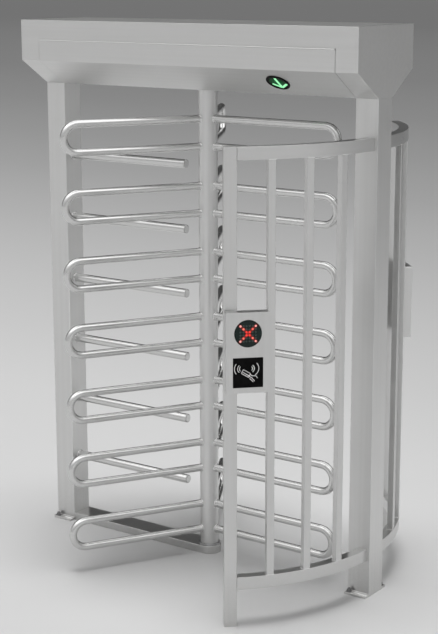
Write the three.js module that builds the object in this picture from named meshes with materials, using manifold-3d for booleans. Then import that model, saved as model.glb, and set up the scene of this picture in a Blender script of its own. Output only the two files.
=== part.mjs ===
// Full height turnstile: a three-wing rotor of U-shaped tube arms turns between a comb of
// straight bars on one side and two curved cages on the other, under a box canopy that holds
// the bearing and the locking mechanism. Millimetres, +Z up. X runs along the canopy, -Y is the
// front. The origin is on the rotor's axis, on the ground.

import * as THREE from 'three';
import { mergeVertices } from 'three/addons/utils/BufferGeometryUtils.js';
import Module from 'manifold-3d';

const wasm = await Module();
wasm.setup();

// Clearances and cutting allowances shared by every piece
const FIT_GAP = 0.3;
const SEAM_GAP = 1;
const CUT_OVERRUN = 20;

// Posts and their welded foot plates
const POST_WIDTH = 100;
const POST_DEPTH = 104;
const POST_WALL = 3;
const FOOT_PLATE_THICKNESS = 10;
const FOOT_PLATE_OVERHANG = 30;
const PASSAGE_HALF_WIDTH = 743;

// Canopy
const TOTAL_HEIGHT = 2300;
const CANOPY_DEPTH = 420;
const CANOPY_HEIGHT = 276;
const BEVEL_HEIGHT = 105;
const SHEET = 3;
const DOOR_BELOW_TOP = 85;
const DOOR_HINGE_DIAMETER = 6;
const DOOR_HEAD_RETURN = 15;
const LENS_DIAMETER = 100;
const LENS_THICKNESS = 10;
const LENS_PROUD = 3;
const LENS_FROM_AXIS = 435;

// Rotor
const COLUMN_DIAMETER = 80;
const COLUMN_WALL = 3;
const COLUMN_ABOVE_FLOOR_SHEET = 84;
const WING_COUNT = 3;
const ARM_ROWS = 7;
const ARM_TUBE = 32;
const ARM_WALL = 2;
const ARM_TIP_TO_POST = 94;
const ARM_LEG_SPACING = 116;
const TOP_ARM_BELOW_CANOPY = 120;
const LOWEST_ARM_HEIGHT = 108;

// Comb barrier
const COMB_TUBE = 38;
const COMB_WALL = 2.5;
const COMB_END_TO_COLUMN = 74;
const COMB_END_ROUNDING = 4;

// Base beam and bottom bearing
const BEAM_HEIGHT = 34;
const BEAM_WALL = 4;
const PIVOT_FOOT_DIAMETER = 64;
const PIVOT_COLLAR_DIAMETER = 96;
const PIVOT_COLLAR_HEIGHT = 8;
const PIVOT_SPIGOT_HEIGHT = 60;
const PIVOT_SPIGOT_CLEARANCE = 0.5;
const ROTOR_FLOAT = 0.5;

// Top bearing
const BEARING_LENGTH = 150;
const BEARING_WIDTH = 92;
const BEARING_FLANGE = 8;
const BEARING_HEIGHT = 33;
const BEARING_WALL = 6;
const BEARING_CLEARANCE = 0.6;

// Locking mechanism
const LOCK_PLATE_LENGTH = 470;
const LOCK_PLATE_WIDTH = 92;
const LOCK_PLATE_THICKNESS = 5;
const CAM_DIAMETER = 136;
const CAM_THICKNESS = 12;
const CAM_NOTCHES = 6;
const CAM_NOTCH_DEPTH = 12;
const CAM_NOTCH_WIDTH = 20;
const CAM_RISE = 7;
const PAWL_PIVOT_X = 128;
const PAWL_PIVOT_Y = 30;
const PAWL_WIDTH = 14;
const PAWL_NOSE_CLEARANCE = 1.5;
const PAWL_TAIL = 34;
const PAWL_STUD = 12;
const PAWL_STUD_HEAD = 6;
const PAWL_SWING_DEGREES = 12;
const SOLENOID_LENGTH = 62;
const SOLENOID_WIDTH = 40;
const SOLENOID_HEIGHT = 36;

// Curved cages
const CAGE_INSET = 13;
const RAIL_DEPTH = 40;
const RAIL_HEIGHT = 50;
const CAGE_WALL = 2;
const CAGE_BELOW_CANOPY = 148;
const LOWER_RAIL_TOP = 203;
const END_POST_WIDTH = 50;
const END_POST_ANGLE = 48.3;
const CAGE_BAR_WIDTH = 30;
const CAGE_BAR_DEPTH = 25;
const CAGE_BAR_COUNT = 3;
const CAGE_BAR_SPACING_DEGREES = 10.95;

// Card readers on the cages
const READER_WIDTH = 168;
const READER_DEPTH = 40;
const READER_WALL = 3;
const READER_CORNER = 3;
const READER_CENTRE_HEIGHT = 1110;
const DISPLAY_DIAMETER = 105;
const DISPLAY_THICKNESS = 8;
const DISPLAY_BELOW_TOP = 28.5;
const DISPLAY_TO_PAD = 40;
const PAD_SIZE = 115;
const PAD_THICKNESS = 9;
const PAD_CORNER = 2;
const PAD_ABOVE_BOTTOM = 21.5;
const INSERT_PROUD = 1;

// Facets of the round pieces
const COLUMN_SIDES = 36;
const ARM_SIDES = 12;
const ARM_BORE_SIDES = 6;
const ARM_BEND_STEPS = 8;
const COMB_SIDES = 16;
const DISC_SIDES = 36;
const PIN_SIDES = 12;
const RAIL_SIDES = 16;
const ROUNDING_STEPS = 3;

// Places worked out from the sizes above
const CANOPY_HALF_LENGTH = PASSAGE_HALF_WIDTH + POST_WIDTH;
const CANOPY_UNDERSIDE = TOTAL_HEIGHT - CANOPY_HEIGHT;
const DOOR_TOP_HEIGHT = TOTAL_HEIGHT - DOOR_BELOW_TOP;
const BEVEL_TOP = CANOPY_UNDERSIDE + BEVEL_HEIGHT;
const BEVEL_RUN = (CANOPY_DEPTH - POST_DEPTH) / 2;
const BEVEL_ANGLE = Math.atan2(BEVEL_HEIGHT, BEVEL_RUN);
const CANOPY_FLOOR_TOP = CANOPY_UNDERSIDE + SHEET;
const COLUMN_BOTTOM = BEAM_HEIGHT + PIVOT_COLLAR_HEIGHT + ROTOR_FLOAT;
const COLUMN_TOP = CANOPY_FLOOR_TOP + COLUMN_ABOVE_FLOOR_SHEET;
const COLUMN_HOLE = COLUMN_DIAMETER + 2 * BEARING_CLEARANCE;
const READER_HEIGHT =
  DISPLAY_BELOW_TOP + DISPLAY_DIAMETER + DISPLAY_TO_PAD + PAD_SIZE + PAD_ABOVE_BOTTOM;
const ARM_REACH = PASSAGE_HALF_WIDTH - ARM_TIP_TO_POST;
const TOP_ARM_HEIGHT = CANOPY_UNDERSIDE - TOP_ARM_BELOW_CANOPY;
const ARM_PITCH = (TOP_ARM_HEIGHT - ARM_LEG_SPACING - LOWEST_ARM_HEIGHT) / (ARM_ROWS - 1);
const COMB_TOP_HEIGHT = TOP_ARM_HEIGHT - (ARM_PITCH + ARM_LEG_SPACING) / 2;
const LOCK_PLATE_BOTTOM = CANOPY_FLOOR_TOP + BEARING_HEIGHT;
const LOCK_PLATE_TOP = LOCK_PLATE_BOTTOM + LOCK_PLATE_THICKNESS;
const CAM_BOTTOM = LOCK_PLATE_TOP + CAM_RISE;
const CAGE_RADIUS = CANOPY_HALF_LENGTH - CAGE_INSET;
const CAGE_TOP = CANOPY_UNDERSIDE - CAGE_BELOW_CANOPY;
const CAGE_BAR_BOTTOM = LOWER_RAIL_TOP + FIT_GAP;
const CAGE_BAR_TOP = CAGE_TOP - RAIL_HEIGHT - FIT_GAP;

// Finishes
const stainless = { color: 0xb3b3b0, roughness: 0.32, metalness: 0.9 };
const darkSteel = { color: 0x6f7072, roughness: 0.45, metalness: 0.85 };
const bearingSteel = { color: 0x8c8e90, roughness: 0.3, metalness: 0.9 };
const zincPlate = { color: 0xa8a9a2, roughness: 0.4, metalness: 0.8 };
const greenLens = { color: 0x0c2a16, roughness: 0.2, metalness: 0.0 };
const displayLens = { color: 0x1b2422, roughness: 0.25, metalness: 0.0 };
const readerBlack = { color: 0x0a0a0b, roughness: 0.4, metalness: 0.0 };

// Solids and booleans

function solidOf(geometry) {
  const bare = geometry.clone();
  bare.deleteAttribute('normal');
  bare.deleteAttribute('uv');
  const merged = mergeVertices(bare);
  return new wasm.Manifold(new wasm.Mesh({
    numProp: 3,
    vertProperties: new Float32Array(merged.attributes.position.array),
    triVerts: new Uint32Array(merged.index.array),
  }));
}

function geometryOf(solid) {
  const mesh = solid.getMesh();
  const geometry = new THREE.BufferGeometry();
  geometry.setAttribute('position', new THREE.BufferAttribute(new Float32Array(mesh.vertProperties), 3));
  geometry.setIndex(new THREE.BufferAttribute(new Uint32Array(mesh.triVerts), 1));
  geometry.computeVertexNormals();
  return geometry;
}

function cut(body, ...tools) {
  return geometryOf(tools.reduce((left, tool) => left.subtract(solidOf(tool)), solidOf(body)));
}

function join(body, ...others) {
  return geometryOf(others.reduce((whole, other) => whole.add(solidOf(other)), solidOf(body)));
}

function common(body, tool) {
  return geometryOf(solidOf(body).intersect(solidOf(tool)));
}

// Shapes

function block(low, high) {
  const size = high.map((value, axis) => value - low[axis]);
  const geometry = new THREE.BoxGeometry(...size);
  return geometry.translate(...low.map((value, axis) => value + size[axis] / 2));
}

function circle(radius) {
  return new THREE.Shape().absarc(0, 0, radius, 0, 2 * Math.PI, false);
}

function polygon(radius, sides) {
  const corners = Array.from({ length: sides }, (unused, corner) => {
    const angle = (corner * 2 * Math.PI) / sides;
    return new THREE.Vector2(radius * Math.cos(angle), radius * Math.sin(angle));
  });
  return new THREE.Path(corners).closePath();
}

function prism(shape, bottom, top, sides) {
  const geometry = new THREE.ExtrudeGeometry(shape, {
    depth: top - bottom,
    bevelEnabled: false,
    curveSegments: sides / 2,
  });
  return geometry.translate(0, 0, bottom);
}

function disc(radius, bottom, top, sides) {
  return prism(circle(radius), bottom, top, sides);
}

function ring(outer, inner, bottom, top, sides) {
  const shape = circle(outer);
  shape.holes.push(circle(inner));
  return prism(shape, bottom, top, sides);
}

// A rounded rectangle seen along Z, centred on the origin
function roundedRectangle(width, height, corner) {
  const right = width / 2;
  const top = height / 2;
  const shape = new THREE.Shape();
  shape.absarc(right - corner, top - corner, corner, 0, Math.PI / 2, false);
  shape.absarc(corner - right, top - corner, corner, Math.PI / 2, Math.PI, false);
  shape.absarc(corner - right, corner - top, corner, Math.PI, 1.5 * Math.PI, false);
  shape.absarc(right - corner, corner - top, corner, 1.5 * Math.PI, 2 * Math.PI, false);
  shape.closePath();
  return shape;
}

// Turns a piece drawn in X and Y and raised along Z so that it lies in Y and Z along +X
function alongX(geometry) {
  const turn = new THREE.Matrix4().makeBasis(
    new THREE.Vector3(0, 1, 0),
    new THREE.Vector3(0, 0, 1),
    new THREE.Vector3(1, 0, 0),
  );
  return geometry.applyMatrix4(turn);
}

function piece(name, geometry, finish) {
  const mesh = new THREE.Mesh(geometry, new THREE.MeshStandardMaterial(finish));
  mesh.name = name;
  return mesh;
}

function assembly(...children) {
  const group = new THREE.Group();
  group.add(...children);
  return group;
}

// Posts: a rectangular tube welded to a foot plate that stands out to the front and the rear
function post(name, side) {
  const inner = PASSAGE_HALF_WIDTH;
  const outer = inner + POST_WIDTH;
  const halfDepth = POST_DEPTH / 2;
  const reach = halfDepth + FOOT_PLATE_OVERHANG;
  const plate = block([inner, -reach, 0], [outer, reach, FOOT_PLATE_THICKNESS]);
  const tube = block([inner, -halfDepth, FOOT_PLATE_THICKNESS], [outer, halfDepth, CANOPY_UNDERSIDE]);
  const hollow = block(
    [inner + POST_WALL, POST_WALL - halfDepth, FOOT_PLATE_THICKNESS],
    [outer - POST_WALL, halfDepth - POST_WALL, CANOPY_UNDERSIDE + CUT_OVERRUN],
  );
  const geometry = cut(join(plate, tube), hollow);
  if (side < 0) {
    geometry.rotateZ(Math.PI);
  }
  return piece(name, geometry, stainless);
}

// The base beam: an upturned channel from the left post to the rotor, with a round end
function beamOutline(halfWidth) {
  const shape = new THREE.Shape();
  shape.moveTo(-PASSAGE_HALF_WIDTH, -halfWidth);
  shape.lineTo(0, -halfWidth);
  shape.absarc(0, 0, halfWidth, -Math.PI / 2, Math.PI / 2, false);
  shape.lineTo(-PASSAGE_HALF_WIDTH, halfWidth);
  shape.closePath();
  return shape;
}

function baseBeam() {
  const halfWidth = POST_DEPTH / 2;
  const body = prism(beamOutline(halfWidth), 0, BEAM_HEIGHT, DISC_SIDES);
  const under = prism(beamOutline(halfWidth - BEAM_WALL), -CUT_OVERRUN, BEAM_HEIGHT - BEAM_WALL, DISC_SIDES);
  const footHole = disc(PIVOT_FOOT_DIAMETER / 2 + FIT_GAP, 0, BEAM_HEIGHT + CUT_OVERRUN, DISC_SIDES);
  return piece('base_beam', cut(body, under, footHole), stainless);
}

// The bottom bearing: a turned foot through the beam, a collar on it and a spigot in the column
function bottomBearing() {
  const foot = PIVOT_FOOT_DIAMETER / 2;
  const collar = PIVOT_COLLAR_DIAMETER / 2;
  const spigot = COLUMN_DIAMETER / 2 - COLUMN_WALL - PIVOT_SPIGOT_CLEARANCE;
  const collarTop = BEAM_HEIGHT + PIVOT_COLLAR_HEIGHT;
  const profile = [
    [0, 0],
    [foot, 0],
    [foot, BEAM_HEIGHT],
    [collar, BEAM_HEIGHT],
    [collar, collarTop],
    [spigot, collarTop],
    [spigot, collarTop + PIVOT_SPIGOT_HEIGHT],
    [0, collarTop + PIVOT_SPIGOT_HEIGHT],
  ].map(([radius, height]) => new THREE.Vector2(radius, height));
  const geometry = new THREE.LatheGeometry(profile, COLUMN_SIDES).rotateX(Math.PI / 2);
  return piece('bottom_bearing', geometry, bearingSteel);
}

// Rotor

// The centre line of an arm: out along one leg, round a half circle and back along the other
class ArmLine extends THREE.Curve {
  constructor(start, bendCentre, bendRadius) {
    super();
    this.start = start;
    this.bendCentre = bendCentre;
    this.bendRadius = bendRadius;
  }

  getUtoTmapping(share) {
    return share;
  }

  getPoint(share) {
    const step = share * (ARM_BEND_STEPS + 2) - 1;
    const legShare = Math.max(-step, step - ARM_BEND_STEPS, 0);
    const turn = Math.PI * THREE.MathUtils.clamp(step / ARM_BEND_STEPS, 0, 1);
    const bendX = this.bendCentre + this.bendRadius * Math.sin(turn);
    return new THREE.Vector3(
      THREE.MathUtils.lerp(bendX, this.start, legShare),
      0,
      this.bendRadius * Math.cos(turn),
    );
  }
}

function armGeometry() {
  const bendRadius = ARM_LEG_SPACING / 2;
  const bendCentre = ARM_REACH - ARM_TUBE / 2 - bendRadius;
  const column = COLUMN_DIAMETER / 2;
  const line = new ArmLine(column - ARM_TUBE / 2, bendCentre, bendRadius);
  const section = circle(ARM_TUBE / 2);
  section.holes.push(polygon(ARM_TUBE / 2 - ARM_WALL, ARM_BORE_SIDES));
  const tube = new THREE.ExtrudeGeometry(section, {
    steps: ARM_BEND_STEPS + 2,
    curveSegments: ARM_SIDES / 2,
    extrudePath: line,
  });
  return cut(tube, disc(column + FIT_GAP, -ARM_LEG_SPACING, ARM_LEG_SPACING, COLUMN_SIDES));
}

function rotorWing(letter, wing) {
  const group = new THREE.Group();
  for (let row = 0; row < ARM_ROWS; row += 1) {
    const arm = piece(`rotor_arm_${letter}${row + 1}`, armGeometry(), stainless);
    arm.position.z = TOP_ARM_HEIGHT - ARM_LEG_SPACING / 2 - row * ARM_PITCH;
    group.add(arm);
  }
  group.rotation.z = (wing * 2 * Math.PI) / WING_COUNT;
  return group;
}

// The index cam: a disc on the column with a notch in its rim for each locked position
function indexCam() {
  const radius = CAM_DIAMETER / 2;
  const bore = COLUMN_DIAMETER / 2 + FIT_GAP;
  const notches = [];
  for (let notch = 0; notch < CAM_NOTCHES; notch += 1) {
    const wedge = new THREE.Shape();
    wedge.moveTo(radius - CAM_NOTCH_DEPTH, 0);
    wedge.lineTo(radius + CAM_NOTCH_DEPTH, -CAM_NOTCH_WIDTH);
    wedge.lineTo(radius + CAM_NOTCH_DEPTH, CAM_NOTCH_WIDTH);
    wedge.closePath();
    const tool = prism(wedge, CAM_BOTTOM - CUT_OVERRUN, CAM_BOTTOM + CAM_THICKNESS + CUT_OVERRUN, PIN_SIDES);
    const noseAngle = Math.atan2(PAWL_PIVOT_Y, radius);
    tool.rotateZ(noseAngle + (notch * 2 * Math.PI) / CAM_NOTCHES);
    notches.push(tool);
  }
  const blank = ring(radius, bore, CAM_BOTTOM, CAM_BOTTOM + CAM_THICKNESS, COLUMN_SIDES);
  return piece('index_cam', cut(blank, ...notches), darkSteel);
}

function rotor() {
  const radius = COLUMN_DIAMETER / 2;
  const tube = ring(radius, radius - COLUMN_WALL, COLUMN_BOTTOM, COLUMN_TOP, COLUMN_SIDES);
  const wings = ['a', 'b', 'c'].map((letter, wing) => rotorWing(letter, wing));
  return assembly(piece('rotor_column', tube, stainless), indexCam(), ...wings);
}

// Comb bars: tubes welded to the left post, one in each gap between the rows of arms, each
// with a closed, rounded free end
function combBarGeometry() {
  const radius = COMB_TUBE / 2;
  const bore = radius - COMB_WALL;
  const length = PASSAGE_HALF_WIDTH - COLUMN_DIAMETER / 2 - COMB_END_TO_COLUMN - FIT_GAP;
  const profile = new THREE.Path();
  profile.moveTo(0, length - COMB_WALL);
  profile.lineTo(bore, length - COMB_WALL);
  profile.lineTo(bore, 0);
  profile.lineTo(radius, 0);
  const rounding = COMB_END_ROUNDING;
  profile.lineTo(radius, length - rounding);
  profile.absarc(radius - rounding, length - rounding, rounding, 0, Math.PI / 2, false);
  profile.lineTo(0, length);
  const turned = new THREE.LatheGeometry(profile.getPoints(ROUNDING_STEPS), COMB_SIDES);
  return turned.rotateZ(-Math.PI / 2).translate(FIT_GAP - PASSAGE_HALF_WIDTH, 0, 0);
}

function comb() {
  const group = new THREE.Group();
  for (let row = 0; row < ARM_ROWS - 1; row += 1) {
    const bar = piece(`comb_bar_${row + 1}`, combBarGeometry(), stainless);
    bar.position.z = COMB_TOP_HEIGHT - row * ARM_PITCH;
    group.add(bar);
  }
  return group;
}

// Canopy

// The canopy's section in Y and Z: a flat floor, bevels up to upright sides and a flat top
function canopySection(inset) {
  const floorHalf = POST_DEPTH / 2 - inset * Math.tan(BEVEL_ANGLE / 2);
  const sideHalf = CANOPY_DEPTH / 2 - inset;
  const bevelTop = BEVEL_TOP + inset * Math.tan((Math.PI / 2 - BEVEL_ANGLE) / 2);
  const shape = new THREE.Shape();
  shape.moveTo(-floorHalf, CANOPY_UNDERSIDE + inset);
  shape.lineTo(floorHalf, CANOPY_UNDERSIDE + inset);
  shape.lineTo(sideHalf, bevelTop);
  shape.lineTo(sideHalf, TOTAL_HEIGHT - inset);
  shape.lineTo(-sideHalf, TOTAL_HEIGHT - inset);
  shape.lineTo(-sideHalf, bevelTop);
  shape.closePath();
  return shape;
}

function canopyPrism(inset, halfLength) {
  return alongX(prism(canopySection(inset), -halfLength, halfLength, PIN_SIDES));
}

// The part of the canopy's front or rear that a door fills, less a margin all round
function doorRegion(side, margin, top) {
  const halfLength = PASSAGE_HALF_WIDTH - margin;
  const near = POST_DEPTH / 2 + margin;
  const far = CANOPY_DEPTH / 2 + CUT_OVERRUN;
  const bounds = [near * side, far * side].sort((first, second) => first - second);
  return block(
    [-halfLength, bounds[0], CANOPY_UNDERSIDE - CUT_OVERRUN],
    [halfLength, bounds[1], top],
  );
}

// A cylinder square to the bevel at the lens, between two heights above the bevel's skin
function lensCylinder(side, radius, bottom, top) {
  const cylinder = disc(radius, bottom, top, DISC_SIDES);
  const lean = side * (Math.PI - BEVEL_ANGLE);
  cylinder.rotateX(-lean);
  const middleY = (CANOPY_DEPTH + POST_DEPTH) / 4;
  const middleZ = CANOPY_UNDERSIDE + BEVEL_HEIGHT / 2;
  return cylinder.translate(LENS_FROM_AXIS, side * middleY, middleZ);
}

// The strip over a door is turned in along its lower edge
function doorHead(side, bottom) {
  const outerFace = CANOPY_DEPTH / 2 - SHEET / 2;
  const bounds = [outerFace * side, (CANOPY_DEPTH / 2 - SHEET - DOOR_HEAD_RETURN) * side];
  bounds.sort((first, second) => first - second);
  const halfLength = PASSAGE_HALF_WIDTH;
  return block([-halfLength, bounds[0], bottom], [halfLength, bounds[1], bottom + SHEET]);
}

// The casing: a folded shell with openings for the two doors and a hole for the column
function canopyCasing() {
  const hinge = DOOR_HINGE_DIAMETER / 2;
  const outer = canopyPrism(0, CANOPY_HALF_LENGTH);
  const inner = canopyPrism(SHEET, CANOPY_HALF_LENGTH - SHEET);
  const openingTop = DOOR_TOP_HEIGHT + hinge + FIT_GAP;
  const columnHole = disc(
    COLUMN_HOLE / 2 + BEARING_WALL / 2,
    CANOPY_UNDERSIDE - CUT_OVERRUN,
    CANOPY_FLOOR_TOP + CUT_OVERRUN,
    COLUMN_SIDES,
  );
  const shell = cut(outer, inner, doorRegion(-1, 0, openingTop), doorRegion(1, 0, openingTop), columnHole);
  const geometry = join(shell, doorHead(-1, openingTop), doorHead(1, openingTop));
  return piece('canopy_casing', geometry, stainless);
}

// An access door: a bent sheet hung from a hinge barrel along its top edge
function accessDoor(name, side) {
  const hinge = DOOR_HINGE_DIAMETER / 2;
  const halfLength = PASSAGE_HALF_WIDTH - SEAM_GAP;
  const skin = cut(canopyPrism(0, CANOPY_HALF_LENGTH), canopyPrism(SHEET, CANOPY_HALF_LENGTH + CUT_OVERRUN));
  const sheet = common(skin, doorRegion(side, SEAM_GAP, DOOR_TOP_HEIGHT));
  const barrel = alongX(disc(hinge, -halfLength, halfLength, PIN_SIDES));
  barrel.translate(0, (side * CANOPY_DEPTH) / 2, DOOR_TOP_HEIGHT);
  const lensHole = lensCylinder(side, LENS_DIAMETER / 2 + FIT_GAP, -CUT_OVERRUN, CUT_OVERRUN);
  return piece(name, cut(join(sheet, barrel), lensHole), stainless);
}

function directionLens(name, side) {
  const geometry = lensCylinder(side, LENS_DIAMETER / 2, LENS_PROUD - LENS_THICKNESS, LENS_PROUD);
  return piece(name, geometry, greenLens);
}

// The top bearing: a flanged housing on the canopy floor that the column turns in
function topBearing() {
  const housing = COLUMN_HOLE / 2 + BEARING_WALL;
  const flangeTop = CANOPY_FLOOR_TOP + BEARING_FLANGE;
  const flange = block(
    [-BEARING_LENGTH / 2, -BEARING_WIDTH / 2, CANOPY_FLOOR_TOP],
    [BEARING_LENGTH / 2, BEARING_WIDTH / 2, flangeTop],
  );
  const sleeve = disc(housing, CANOPY_FLOOR_TOP, CANOPY_FLOOR_TOP + BEARING_HEIGHT, COLUMN_SIDES);
  const bore = disc(COLUMN_HOLE / 2, CANOPY_UNDERSIDE, LOCK_PLATE_TOP, COLUMN_SIDES);
  return piece('top_bearing', cut(join(flange, sleeve), bore), bearingSteel);
}

// The lock plate lies on the bearing and carries two pivot studs and two solenoids
function lockPlate() {
  const halfLength = LOCK_PLATE_LENGTH / 2;
  const halfWidth = LOCK_PLATE_WIDTH / 2;
  const studTop = CAM_BOTTOM + CAM_THICKNESS + PAWL_STUD_HEAD;
  const plate = block([-halfLength, -halfWidth, LOCK_PLATE_BOTTOM], [halfLength, halfWidth, LOCK_PLATE_TOP]);
  const fittings = [-1, 1].flatMap((side) => {
    const stud = disc(PAWL_STUD / 2, LOCK_PLATE_BOTTOM, studTop, PIN_SIDES);
    const shoulder = disc(PAWL_WIDTH, LOCK_PLATE_BOTTOM, CAM_BOTTOM - FIT_GAP, PIN_SIDES);
    const coil = block(
      [halfLength - SOLENOID_LENGTH, -SOLENOID_WIDTH / 2, LOCK_PLATE_BOTTOM],
      [halfLength, SOLENOID_WIDTH / 2, LOCK_PLATE_TOP + SOLENOID_HEIGHT],
    );
    const placed = [stud, shoulder].map((part) => part.translate(PAWL_PIVOT_X, PAWL_PIVOT_Y, 0));
    return [...placed, coil].map((part) => (side < 0 ? part.rotateZ(Math.PI) : part));
  });
  const hole = disc(COLUMN_HOLE / 2 + BEARING_WALL / 2, CANOPY_UNDERSIDE, studTop, COLUMN_SIDES);
  return piece('lock_plate', cut(join(plate, ...fittings), hole), zincPlate);
}

// A lock pawl, drawn where its nose stops just clear of the cam's rim, then swung back to rest
function lockPawl(name, side) {
  const half = PAWL_WIDTH / 2;
  const clearRadius = CAM_DIAMETER / 2 + PAWL_NOSE_CLEARANCE;
  const noseX = Math.sqrt(clearRadius ** 2 - (PAWL_PIVOT_Y - half) ** 2);
  const reach = PAWL_PIVOT_X - noseX;
  const outline = new THREE.Shape();
  outline.moveTo(-reach, -half);
  outline.lineTo(PAWL_TAIL, -half);
  outline.lineTo(PAWL_TAIL, half);
  outline.lineTo(half, PAWL_WIDTH);
  outline.lineTo(-half, PAWL_WIDTH);
  outline.lineTo(-reach, half);
  outline.closePath();
  outline.holes.push(circle(PAWL_STUD / 2 + FIT_GAP));
  const geometry = prism(outline, 0, CAM_THICKNESS, PIN_SIDES);
  geometry.rotateZ(-THREE.MathUtils.degToRad(PAWL_SWING_DEGREES));
  geometry.translate(PAWL_PIVOT_X, PAWL_PIVOT_Y, CAM_BOTTOM);
  if (side < 0) {
    geometry.rotateZ(Math.PI);
  }
  return piece(name, geometry, darkSteel);
}

function canopy() {
  return assembly(
    canopyCasing(),
    accessDoor('front_access_door', -1),
    directionLens('front_direction_lens', -1),
    accessDoor('rear_access_door', 1),
    directionLens('rear_direction_lens', 1),
    topBearing(),
    lockPlate(),
    lockPawl('entry_lock_pawl', -1),
    lockPawl('exit_lock_pawl', 1),
  );
}

// Cages

// The angle at which an arc about the rotor's axis meets a plane at a distance from the axis
function angleAt(distance, radius) {
  return Math.asin(distance / radius);
}

// A band between two radii that runs from one plane, parallel to X, to another on the end post
function railBand(outer, inner, startPlane, endPlane) {
  const endAngle = THREE.MathUtils.degToRad(END_POST_ANGLE);
  const starts = [outer, inner].map((radius) => angleAt(startPlane, radius));
  const ends = [outer, inner].map((radius) => endAngle - angleAt(endPlane, radius));
  const shape = new THREE.Shape();
  shape.absarc(0, 0, outer, starts[0], ends[0], false);
  shape.absarc(0, 0, inner, ends[1], starts[1], true);
  shape.closePath();
  return shape;
}

// A rail is a bent rectangular tube from the post's face to the end post's side
function cageRail(name, side, top) {
  const inner = CAGE_RADIUS - RAIL_DEPTH;
  const startPlane = POST_DEPTH / 2 + FIT_GAP;
  const endPlane = END_POST_WIDTH / 2 + FIT_GAP;
  const bottom = top - RAIL_HEIGHT;
  const body = prism(railBand(CAGE_RADIUS, inner, startPlane, endPlane), bottom, top, RAIL_SIDES);
  const hollow = prism(
    railBand(CAGE_RADIUS - CAGE_WALL, inner + CAGE_WALL, startPlane - CUT_OVERRUN, endPlane - CUT_OVERRUN),
    bottom + CAGE_WALL,
    top - CAGE_WALL,
    RAIL_SIDES,
  );
  const geometry = cut(body, hollow);
  if (side < 0) {
    geometry.rotateX(Math.PI).translate(0, 0, top + bottom);
  }
  return piece(name, geometry, stainless);
}

// An upright of the cage is a rectangular tube, flush with the rails' outer side, turned to
// face away from the axis; the hollow runs up from its foot as far as the height given
function cageUpright(name, angle, width, depth, bottom, top, hollowTop) {
  const face = CAGE_RADIUS * Math.cos(angleAt(width / 2, CAGE_RADIUS));
  const body = block([face - depth, -width / 2, bottom], [face, width / 2, top]);
  const hollow = block(
    [face - depth + CAGE_WALL, CAGE_WALL - width / 2, bottom - CUT_OVERRUN],
    [face - CAGE_WALL, width / 2 - CAGE_WALL, hollowTop],
  );
  const mesh = piece(name, cut(body, hollow), stainless);
  mesh.rotation.z = THREE.MathUtils.degToRad(angle);
  return mesh;
}

// A reader faces the way that lets its edge line up with the end post's outer edge
function readerAngle() {
  const endAngle = THREE.MathUtils.degToRad(END_POST_ANGLE);
  return endAngle + angleAt(END_POST_WIDTH / 2, CAGE_RADIUS) - angleAt(READER_WIDTH / 2, CAGE_RADIUS);
}

// The plane of a reader's back: it lies against the nearest corner of the end post
function readerBack() {
  const cornerAngle = THREE.MathUtils.degToRad(END_POST_ANGLE) - angleAt(END_POST_WIDTH / 2, CAGE_RADIUS);
  return CAGE_RADIUS * Math.cos(cornerAngle - readerAngle()) + FIT_GAP;
}

// A card reader: a folded box with windows in its face for a round display over a square pad
function reader(prefix, side) {
  const halfDepth = READER_DEPTH / 2;
  const shell = (inset) =>
    roundedRectangle(READER_WIDTH - 2 * inset, READER_HEIGHT - 2 * inset, READER_CORNER);
  const displayRise = READER_HEIGHT / 2 - DISPLAY_BELOW_TOP - DISPLAY_DIAMETER / 2;
  const padRise = -READER_HEIGHT / 2 + PAD_ABOVE_BOTTOM + PAD_SIZE / 2;
  const faceTop = READER_DEPTH + INSERT_PROUD;
  const padOutline = (extra) => roundedRectangle(PAD_SIZE + 2 * extra, PAD_SIZE + 2 * extra, PAD_CORNER);
  const window = disc(DISPLAY_DIAMETER / 2 + FIT_GAP, halfDepth, READER_DEPTH + CUT_OVERRUN, DISC_SIDES);
  const padWindow = prism(padOutline(FIT_GAP), halfDepth, READER_DEPTH + CUT_OVERRUN, PIN_SIDES / 2);
  const housing = cut(
    prism(shell(0), 0, READER_DEPTH, PIN_SIDES / 2),
    prism(shell(READER_WALL), READER_WALL, READER_DEPTH - READER_WALL, PIN_SIDES / 2),
    window.translate(0, displayRise, 0),
    padWindow.translate(0, padRise, 0),
  );
  const display = disc(DISPLAY_DIAMETER / 2, faceTop - DISPLAY_THICKNESS, faceTop, DISC_SIDES);
  const pad = prism(padOutline(0), faceTop - PAD_THICKNESS, faceTop, PIN_SIDES / 2);
  const group = assembly(
    piece(`${prefix}_reader_housing`, alongX(housing), stainless),
    piece(`${prefix}_status_display`, alongX(display.translate(0, displayRise, 0)), displayLens),
    piece(`${prefix}_reader_pad`, alongX(pad.translate(0, padRise, 0)), readerBlack),
  );
  group.children.forEach((mesh) => mesh.geometry.translate(readerBack(), 0, READER_CENTRE_HEIGHT));
  group.rotation.z = side * readerAngle();
  return group;
}

function endPost(prefix, side) {
  return cageUpright(
    `${prefix}_cage_end_post`,
    side * END_POST_ANGLE,
    END_POST_WIDTH,
    RAIL_DEPTH,
    0,
    CAGE_TOP,
    CAGE_TOP - CAGE_WALL,
  );
}

function cageBar(prefix, side, bar) {
  return cageUpright(
    `${prefix}_cage_bar_${bar}`,
    side * (END_POST_ANGLE - bar * CAGE_BAR_SPACING_DEGREES),
    CAGE_BAR_WIDTH,
    CAGE_BAR_DEPTH,
    CAGE_BAR_BOTTOM,
    CAGE_BAR_TOP,
    CAGE_BAR_TOP + CUT_OVERRUN,
  );
}

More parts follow.
